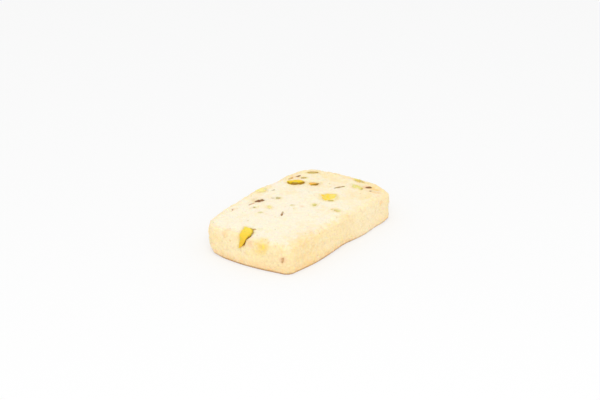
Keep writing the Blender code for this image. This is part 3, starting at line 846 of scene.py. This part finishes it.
def add_chip(shape, chip, draw, cut_draw, subdivisions, proud=NUT_PROUD, deep=CHIP_DEPTH):
    """One chip in the mesh: an uneven chopped lump draped on the dough, with its colours.

    draw gives it its lumps, as in the solid, and cut_draw its cuts."""
    placed = chip_frame(chip)
    proud = chip.proud or proud
    drift = Vector([draw.uniform(0, 100) for _ in range(3)])
    facets = []
    for k in range(FACETS):
        angle = 2 * math.pi * (k + cut_draw.uniform(0, FACET_STRAY)) / FACETS
        fall = cut_draw.uniform(*FACET_FALL)
        facets.append((fall * math.cos(angle), fall * math.sin(angle), cut_draw.uniform(*FACET_TOP)))
    cuts = []
    for _ in range(CUTS):
        way = Vector((cut_draw.gauss(0, 1), cut_draw.gauss(0, 1), cut_draw.gauss(0, 0.6))).normalized()
        cuts.append((way, cut_draw.uniform(*CUT_DEPTH)))
    tint = shape.verts.layers.float_color["tint"]
    bark, crust, veil, side = [shape.verts.layers.float[name] for name in CHIP_MARKS]
    slab_side = Workbench.slab.verts.layers.float["wall"]
    made = bmesh.ops.create_icosphere(shape, subdivisions=subdivisions, radius=1)["verts"]
    outward = Vector((0, 0, 0))
    draped = []
    for vert in made:
        way = vert.co.copy()
        uneven = 1 + CHIP_UNEVEN * noise.noise(way * CHIP_LUMPS + drift)
        x, y, z = way * uneven * chopped(way, cuts)
        across = y * (1 + chip.taper * x) * chip.wide / 2 + chip.bend * x * x
        flat = placed @ Vector((x * chip.long / 2, across, 0))
        if chip.side == UP:
            flat = bent_down(flat)
        place, normal, nearest, _ = Workbench.surface.find_nearest(flat)
        outward += normal
        cut = max(min(top - slope_x * x - slope_y * y for slope_x, slope_y, top in facets), FACET_LEAST)
        draped.append((place, normal, z, cut))
        vert[tint] = opaque_mix(chip.tint, chip.far_tint, clamped((x + TINT_SPAN) / (2 * TINT_SPAN)))
        if chip.bark:
            angle, start = math.radians(chip.bark[0]), chip.bark[1]
            facing = x * math.cos(angle) + y * math.sin(angle)
            sideways = y * math.cos(angle) - x * math.sin(angle)
            # As a part of the way out to the rim there.
            facing /= math.sqrt(max(1 - sideways**2, 0.1))
            vert[bark] = clamped((facing - start) / BARK_BLUR + 0.5)
        rim = clamped(1 - z / (CRUST_RIM * chip.veil)) if chip.veil > BARE else 0
        vert[crust] = (1 - (1 - chip.veil) * (1 - rim)) * (1 - vert[bark])
        vert[veil] = chip.veil
        around = Workbench.slab.faces[nearest].verts
        vert[side] = sum(corner[slab_side] for corner in around) / len(around)
    outward.normalize()
    for vert, (place, normal, z, cut) in zip(made, draped):
        vert.co = place - RIM_DEPTH * outward
        if z > 0:
            grit = noise.noise(place / GRIT_WIDTH + drift) * GRIT
            vert.co += (proud * min(z ** (ROUND + chip.veil), cut) + grit) * normal
        else:
            vert.co += deep * z * outward


def hidden_chips(counts, draw):
    """Chips for the sides that face away, spaced along each at even steps, give or take."""
    chips = []
    for count, side, half in zip(counts, (BACK, FAR_END), HALF_PLAN):
        free = half - HIDDEN_MARGIN
        for k in range(count):
            along = -free + 2 * free * (k + draw.uniform(*HIDDEN_STRAY)) / count
            long = draw.uniform(*HIDDEN_LONG)
            wide = long * draw.uniform(*HIDDEN_WIDE)
            height = draw.uniform(*HIDDEN_HEIGHTS)
            chips.append(Chip(side, along, height, long, wide, draw.uniform(0, 180), TAN, TAN, 0.5))
    return chips


def link_chips(name, shape):
    """An object of the chips in this mesh, smooth but for the edges between their flat cuts."""
    mesh = bpy.data.meshes.new(name)
    shape.to_mesh(mesh)
    shape.free()
    mesh.shade_smooth()
    mesh.set_sharp_from_angle(angle=SHARP_ANGLE)
    return link_mesh(name, mesh)


def crumb_tree():
    """Raises the crumb on the slab: lumps, sandy grain, pores, worn edges, and grooves by the nuts."""
    tree, given, add = new_tree(
        "Raise the crumb", Object=("Nuts", "Skins"), Float=CRUMB_SIZES, Int=("Seed",), Material=("Material",)
    )
    place = add("GeometryNodeInputPosition")
    normal = add("GeometryNodeInputNormal")
    height = add("SeparateXYZ", (place,), "Z")
    wall, covered = [
        add("GeometryNodeInputNamedAttribute", {"Name": name}, data_type="FLOAT") for name in ("wall", "veil")
    ]
    sizes = [given[name] for name in ("Lump Size", "Grain Size", "Pore Spacing")]
    lump_scale, grain_scale, pore_scale = [add("Math", (1, size), operation="DIVIDE") for size in sizes]

    # Every pattern is read this far off, so that another seed gives another crumb.
    far_off = add("Math", (given["Seed"], 7), **TIMES)
    drifted = add("VectorMath", (place, far_off), **PLUS)

    lumps = add("TexNoise", {"Vector": drifted, "Scale": lump_scale, "Detail": 2})
    lumps = add("MapRange", (lumps, 0.25, 0.75, -0.5, 0.5))
    lumps = add("Math", (lumps, given["Lump Height"]), **TIMES)

    # Grains: rounded knobs with creases between them, more of them in some places than in others.
    grains = add("TexVoronoi", {"Vector": drifted, "Scale": grain_scale})
    grains = add("MapRange", (grains, 0.15, 0.85, 0.5, -0.5))
    patchy = add("TexNoise", {"Vector": drifted, "Scale": lump_scale, "Detail": 1})
    patchy = add("MapRange", (patchy, 0.35, 0.65, 0.35, 1.3))
    grains = add("Math", (grains, patchy), **TIMES)
    crease = add("MapRange", (grains, 0, -0.4, 0, 1))
    grains = add("Math", (grains, given["Grain Height"]), **TIMES)
    rougher = add("MapRange", (wall, 0, 1, 0.65, 1.1))

    # Pressed smoother round a chip.
    nuts, skins = [add("GeometryNodeObjectInfo", (given[name],), "Geometry") for name in ("Nuts", "Skins")]
    away, from_skin = [
        add("GeometryNodeProximity", {0: chips, "Sample Position": place}, "Distance", target_element="FACES")
        for chips in (nuts, skins)
    ]
    nearer = add("Math", (away, from_skin), operation="MINIMUM")
    pressed = add("MapRange", (nearer, 0.15 * MM, 0.9 * MM, 0.3, 1), **SMOOTH)

    # Pores: a small round pit in some of the cells.
    cells = add("TexVoronoi", {"Vector": drifted, "Scale": pore_scale}).node.outputs
    chance = add("SeparateXYZ", (cells["Color"],)).node.outputs
    kept = add("MapRange", (chance["X"], 0.5, 0.95, 0, 1))
    radius = add("MapRange", (chance["Y"], 0, 1, 0.12, 0.3))
    pore = add("MapRange", (cells["Distance"], radius, 0.04, 0, 1), **SMOOTH)
    pore = add("Math", (pore, kept), **TIMES)
    pored = add("Math", (pore, given["Pore Depth"]), **TIMES)

    # Beside a bare nut the dough has shrunk back from it, and its oil has soaked into the dough.
    nearest = {"Mesh": nuts, "Value": covered, "Sample Position": place}
    covered = add("GeometryNodeSampleNearestSurface", nearest, "Value")
    close = add("MapRange", (away, given["Groove Width"], 0.05 * MM, 0, 1), **SMOOTH)
    bare = add("MapRange", (covered, 0.35, 0.05, 0, 1))
    close = add("Math", (close, bare), **TIMES)
    groove = add("Math", (close, given["Groove Depth"]), **TIMES)
    oil = add("MapRange", (away, 1.3 * MM, 0, 0, 1), **SMOOTH)
    oozed = add("MapRange", (covered, 0.2, 0.7, 1, 0.2))
    oil = add("Math", (oil, oozed), **TIMES)

    # The crown is worn: here and there a crumb has gone from it.
    crown = add("Math", (wall, 0.5), operation="SUBTRACT")
    crown = add("Math", (crown,), operation="ABSOLUTE")
    crown = add("MapRange", (crown, 0.5, 0.1, 0, 1), **SMOOTH)
    worn = add("TexNoise", {"Vector": drifted, "Scale": 1 / (1.7 * MM), "Detail": 1})
    worn = add("MapRange", (worn, 0.52, 0.72, 0, 0.32 * MM), **SMOOTH)
    worn = add("Math", (worn, crown), **TIMES)

    # Nothing moves where the biscuit touches what it stands on.
    foot = add("MapRange", (height, 0, 0.7 * MM, 0, 1))

    crumb = add("Math", (lumps, grains), **PLUS)
    for operation, amount in (
        ("MULTIPLY", rougher),
        ("MULTIPLY", pressed),
        ("SUBTRACT", pored),
        ("SUBTRACT", groove),
        ("SUBTRACT", worn),
        ("MULTIPLY", foot),
    ):
        crumb = add("Math", (crumb, amount), operation=operation)
    offset = add("VectorMath", (normal, crumb), operation="SCALE")
    shape = given["Geometry"]
    # pore and crease mark where the dough's material paints shade in cavities; oil marks where a nut's oil
    # soaked in.
    for name, value in (("pore", pore), ("crease", crease), ("oil", oil)):
        stored = {"Geometry": shape, "Name": name, "Value": value}
        shape = add("GeometryNodeStoreNamedAttribute", stored, data_type="FLOAT", domain="POINT")
    shape = add("GeometryNodeSetPosition", {"Geometry": shape, "Offset": offset})
    end_tree(add, shape, given["Material"])
    return tree


def fleck_tree():
    """Scatters fine bits over the dough above its foot, each a small lump half sunk in it."""
    tree, given, add = new_tree(
        "Scatter fine bits",
        Float=FLECK_INPUTS[:3],
        Color=FLECK_INPUTS[3:],
        Int=("Seed",),
        Material=("Material",),
    )
    place = add("GeometryNodeInputPosition")
    height = add("SeparateXYZ", (place,), "Z")
    above = add("Math", (height, 1.0 * MM), operation="GREATER_THAN")
    points = add(
        "GeometryNodeDistributePointsOnFaces",
        {
            "Mesh": given["Geometry"],
            "Selection": above,
            "Distance Min": given["Spacing"],
            "Density Max": FLECK_DENSITY,
            "Seed": given["Seed"],
        },
        distribute_method="POISSON",
    ).node.outputs

    # One lump, knocked out of round; each copy is stretched and turned its own way.
    lump = add("GeometryNodeMeshIcoSphere", {"Radius": 0.5, "Subdivisions": 3})
    knock = add("TexNoise", {"Vector": place, "Scale": 1.6, "Detail": 0}, "Color")
    knock = add("VectorMath", (knock, (0.5, 0.5, 0.5)), operation="SUBTRACT")
    lump = add("GeometryNodeSetPosition", {"Geometry": lump, "Offset": knock})
    stretch, spin = [
        add("FunctionNodeRandomValue", {0: least, 1: most, "Seed": given["Seed"]}, data_type="FLOAT_VECTOR")
        for least, most in (FLECK_STRETCH, FLECK_SPIN)
    ]
    flatten = add("CombineXYZ", (1, 1, given["Flatness"]))
    stretch = add("VectorMath", (stretch, flatten), **TIMES)
    stretch = add("VectorMath", (stretch, given["Size"]), operation="SCALE")
    turned = add(
        "FunctionNodeRotateRotation",
        {"Rotation": points["Rotation"], "Rotate By": spin},
        rotation_space="LOCAL",
    )
    bits = add(
        "GeometryNodeInstanceOnPoints",
        {"Points": points["Points"], "Instance": lump, "Rotation": turned, "Scale": stretch},
    )
    share = add("FunctionNodeRandomValue", {"Seed": given["Seed"]}, data_type="FLOAT")
    tint = add("Mix", (share, given["First Colour"], given["Second Colour"]), **RGBA)
    marks = (("tint", tint, "FLOAT_COLOR"), ("wall", 0.6, "FLOAT"), ("crust", 0.35, "FLOAT"))
    for name, value, kind in marks:
        stored = {"Geometry": bits, "Name": name, "Value": value}
        bits = add("GeometryNodeStoreNamedAttribute", stored, data_type=kind, domain="INSTANCE")
    end_tree(add, bits, given["Material"])
    return tree


class BISCUIT_OT_press_nuts(bpy.types.Operator):
    """Makes the chopped pistachio kernels that lie in the dough"""

    bl_idname = "biscuit.press_nuts"
    bl_label = "Press in Nuts"

    def execute(self, context):
        prepare_slab()
        shape = new_chips()
        cut_draw = random.Random(SEED + 1)
        add_chip(shape, EDGE_NUT, random.Random(SEED), cut_draw, FINEST)
        hidden = [
            chip._replace(
                tint=cut_draw.choice(HIDDEN_TINTS),
                far_tint=cut_draw.choice(HIDDEN_TINTS),
                veil=cut_draw.uniform(*HIDDEN_VEIL),
            )
            for chip in hidden_chips(HIDDEN_NUTS, Workbench.draw)
        ]
        for chip in NUTS + hidden:
            if chip.veil >= BURIED:
                Workbench.buried.append(chip)
                # The solid has this chip too, and drew its numbers.
                for _ in range(3):
                    Workbench.draw.uniform(0, 100)
                continue
            subdivisions = FINEST - (chip.long <= LARGE_CHIP) - (chip.long <= SMALL_CHIP)
            add_chip(shape, chip, Workbench.draw, cut_draw, subdivisions)
        finish_piece(link_chips("kernels", shape), kernel())
        return {"FINISHED"}


class BISCUIT_OT_lay_skins(bpy.types.Operator):
    """Makes the scraps of pistachio skin"""

    bl_idname = "biscuit.lay_skins"
    bl_label = "Lay Skins"

    def execute(self, context):
        prepare_slab()
        shape = new_chips()
        cut_draw = random.Random(SEED + 2)
        hidden = [
            chip._replace(tint=GOLDEN, far_tint=ROSE, veil=0.4)
            for chip in hidden_chips(HIDDEN_SKINS, Workbench.draw)
        ]
        for chip in SKINS + hidden:
            add_chip(shape, chip, Workbench.draw, cut_draw, FINEST - 1, SKIN_PROUD)
        finish_piece(link_chips("skins", shape), papery_skin())
        return {"FINISHED"}


class BISCUIT_OT_bake_dough(bpy.types.Operator):
    """Makes the dough with its crumb round the nuts and skins, in the place of the plain solid"""

    bl_idname = "biscuit.bake_dough"
    bl_label = "Bake Dough"

    def execute(self, context):
        prepare_slab()
        look = context.scene.biscuit_dough
        nuts, skins = bpy.data.objects["kernels"], bpy.data.objects["skins"]
        mesh = bpy.data.meshes.new("slab")
        Workbench.slab.to_mesh(mesh)
        self.swell_over_chips(mesh)
        crumb = shortbread()
        values = {name: getattr(look, name.lower().replace(" ", "_")) for name in CRUMB_SIZES}
        values |= {"Nuts": nuts, "Skins": skins, "Seed": look.seed, "Material": crumb}
        dough = run_tree("dough", mesh, crumb_tree(), values)
        self.open_crack(dough)
        finish_piece(dough, crumb)
        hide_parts("biscuit")
        for thing in (dough, nuts, skins):
            thing.data.transform(Matrix.Translation(Workbench.slide))
        return {"FINISHED"}

    def swell_over_chips(self, mesh):
        """The dough swells over the chips that it covers, and takes a little of their colour."""
        points = np.empty(len(mesh.vertices) * 3)
        mesh.vertices.foreach_get("co", points)
        points = points.reshape(-1, 3)
        colours = np.zeros((len(points), 4))
        for mark in STAINS:
            away = np.linalg.norm(points - (mark.x, mark.y, mark.z), axis=1) / mark.reach
            self.tint(colours, mark.strength * np.clip(1 - away**2, 0, 1) ** 2, mark.tint)
        for chip in Workbench.buried:
            placed = np.array(chip_frame(chip))
            local = (points - placed[:3, 3]) @ placed[:3, :3]
            far = (2 * local[:, 0] / chip.long) ** 2 + (2 * local[:, 1] / chip.wide) ** 2
            far = np.where(abs(local[:, 2]) < chip.long, far, np.inf)
            rise = SWELLING * (chip.proud or NUT_PROUD) * np.clip(1 - far, 0, 1)
            points += rise[:, None] * placed[:3, 2]
            self.tint(colours, TINTING * (1 - chip.veil) * np.clip(TINT_BEYOND - far, 0, 1), chip.tint)
        mesh.vertices.foreach_set("co", points.ravel())
        mesh.update()
        layer = mesh.attributes.new("stain", "FLOAT_COLOR", "POINT")
        layer.data.foreach_set("color", colours.ravel())

    def tint(self, colours, share, tint):
        """Gives the points that this tint reaches more than any other did its colour and share."""
        stronger = share > colours[:, 3]
        colours[stronger, :3] = linear(tint)
        colours[:, 3] = np.maximum(colours[:, 3], share)

    def open_crack(self, dough):
        """Cuts the crack that the dough opened beside the nut at the upper edge.

        The face attribute crack is 1 inside it, and its rim is sharp."""
        shape = new_chips()
        beside = EDGE_NUT._replace(
            first=EDGE_NUT.first - EDGE_GAP, second=EDGE_NUT.second - EDGE_GAP, proud=CRACK_TALL
        )
        add_chip(shape, beside, random.Random(SEED), random.Random(SEED + 1), FINEST, deep=CRACK_DEEP)
        cutter = link_chips("crack", shape)
        for thing, inside in ((dough, 0.0), (cutter, 1.0)):
            layer = thing.data.attributes.new("crack", "FLOAT", "FACE")
            layer.data.foreach_set("value", np.full(len(thing.data.polygons), inside))
        cut = dough.modifiers.new("Crack", "BOOLEAN")
        cut.operation = "DIFFERENCE"
        cut.object = cutter
        cut.solver = "MANIFOLD"
        apply_modifier(dough, cut)
        bpy.data.objects.remove(cutter)
        dough.data.shade_smooth()
        dough.data.set_sharp_from_angle(angle=SHARP_ANGLE)
        shape = bmesh.new()
        shape.from_mesh(dough.data)
        inside = shape.faces.layers.float["crack"]
        for edge in shape.edges:
            one, other = edge.link_faces
            if one[inside] != other[inside]:
                edge.smooth = False
        shape.to_mesh(dough.data)
        shape.free()


class BISCUIT_OT_scatter_flecks(bpy.types.Operator):
    """Scatters the fine bits of kernel and skin over the dough"""

    bl_idname = "biscuit.scatter_flecks"
    bl_label = "Scatter Flecks"

    def execute(self, context):
        look = context.scene.biscuit_nuts
        dough = bpy.data.objects["dough"]
        tree = fleck_tree()
        fleck, green_fleck, dust = [(*tint, 1) for tint in (look.fleck, look.green_fleck, look.dust)]
        bits_of_kernel = (look.fleck_size, look.fleck_spacing, FLECK_FLATNESS, fleck, green_fleck)
        bits_of_skin = (look.dust_size, look.dust_spacing, DUST_FLATNESS, dust, dust)
        kinds = (
            ("kernel-flecks", "kernels", "pistachio_kernel", bits_of_kernel),
            ("skin-flecks", "skins", "pistachio_skin", bits_of_skin),
        )
        for turn, (name, chips, slot, given) in enumerate(kinds):
            material = bpy.data.objects[chips].data.materials[0]
            values = dict(zip(FLECK_INPUTS, given)) | {"Seed": look.seed + turn, "Material": material}
            bits = run_tree(name, dough.data.copy(), tree, values)
            bits.data.shade_smooth()
            finish_piece(bits, material)
        return {"FINISHED"}


class BISCUIT_OT_set_stage(bpy.types.Operator):
    """Makes the floor, the light and the camera"""

    bl_idname = "biscuit.set_stage"
    bl_label = "Set Stage"

    def execute(self, context):
        scene = context.scene
        look = scene.biscuit_stage
        self.lay_floor(look)
        self.light(scene, look)
        self.aim_camera(scene)
        scene.view_settings.view_transform = "Standard"
        scene.view_settings.look = "None"
        scene.view_settings.exposure = 0
        scene.view_settings.gamma = 1
        return {"FINISHED"}

    def lay_floor(self, look):
        """A sheet of opal acrylic with light under it: plain white, and shadows hardly show on it."""
        mesh = bpy.data.meshes.new("floor")
        shape = bmesh.new()
        bmesh.ops.create_circle(shape, cap_ends=True, segments=96, radius=FLOOR_RADIUS)
        shape.to_mesh(mesh)
        shape.free()
        floor = link_mesh("floor", mesh)
        material, shader, _ = new_material("opal acrylic sheet")
        connect(
            shader,
            {
                "Base Color": look.floor,
                "Emission Color": (1, 1, 1),
                "Emission Strength": look.glow,
                "Roughness": 1,
                "Specular IOR Level": 0,
            },
        )
        mesh.materials.append(material)

    def light(self, scene, look):
        """An even white surround, and one broad soft lamp above the near side."""
        world = bpy.data.worlds.new("white surround")
        scene.world = world
        world.use_nodes = True
        connect(world.node_tree.nodes["Background"], {"Color": (1, 1, 1), "Strength": look.sky})
        lamp = bpy.data.objects.new("soft lamp", bpy.data.lights.new("soft lamp", "AREA"))
        lamp.data.shape = "DISK"
        lamp.data.size = LAMP_WIDTH
        lamp.data.energy = look.lamp
        lamp.location = LAMP_PLACE
        lamp.rotation_euler = lamp.location.to_track_quat("Z", "Y").to_euler()
        scene.collection.objects.link(lamp)

    def aim_camera(self, scene):
        """Off the corner between the near end and the front, looking 24 degrees down."""
        level = math.cos(ELEVATION)
        back = Vector((math.sin(AZIMUTH) * level, -math.cos(AZIMUTH) * level, math.sin(ELEVATION)))
        camera = bpy.data.objects.new("camera", bpy.data.cameras.new("camera"))
        camera.data.lens = 100
        camera.data.sensor_width = 36
        camera.data.clip_start = 10 * MM
        camera.location = AIM + CAMERA_AWAY * back
        camera.rotation_euler = back.to_track_quat("Z", "Y").to_euler()
        scene.collection.objects.link(camera)
        scene.camera = camera


class BISCUIT_PT_sidebar(bpy.types.Panel):
    """The biscuit's settings and its operators"""

    bl_idname = "BISCUIT_PT_sidebar"
    bl_label = "Pistachio Biscuit"
    bl_space_type = "VIEW_3D"
    bl_region_type = "UI"
    bl_category = "Biscuit"

    def draw(self, context):
        scene = context.scene
        for settings in (scene.biscuit_dough, scene.biscuit_nuts, scene.biscuit_stage):
            box = self.layout.box()
            for name in settings.__annotations__:
                box.prop(settings, name)
        for operator in OPERATORS:
            self.layout.operator(operator.bl_idname)


SETTINGS = (DoughSettings, NutSettings, StageSettings)
OPERATORS = (
    BISCUIT_OT_press_nuts,
    BISCUIT_OT_lay_skins,
    BISCUIT_OT_bake_dough,
    BISCUIT_OT_scatter_flecks,
    BISCUIT_OT_set_stage,
)


def register():
    for cls in (*SETTINGS, *OPERATORS, BISCUIT_PT_sidebar):
        bpy.utils.register_class(cls)
    bpy.types.Scene.biscuit_dough = PointerProperty(type=DoughSettings)
    bpy.types.Scene.biscuit_nuts = PointerProperty(type=NutSettings)
    bpy.types.Scene.biscuit_stage = PointerProperty(type=StageSettings)


def unregister():
    del bpy.types.Scene.biscuit_stage
    del bpy.types.Scene.biscuit_nuts
    del bpy.types.Scene.biscuit_dough
    for cls in reversed((*SETTINGS, *OPERATORS, BISCUIT_PT_sidebar)):
        bpy.utils.unregister_class(cls)


def main():
    register()
    bpy.ops.biscuit.press_nuts()
    bpy.ops.biscuit.lay_skins()
    bpy.ops.biscuit.bake_dough()
    bpy.ops.biscuit.scatter_flecks()
    bpy.ops.biscuit.set_stage()
    bpy.context.view_layer.update()


if __name__ == "__main__":
    main()
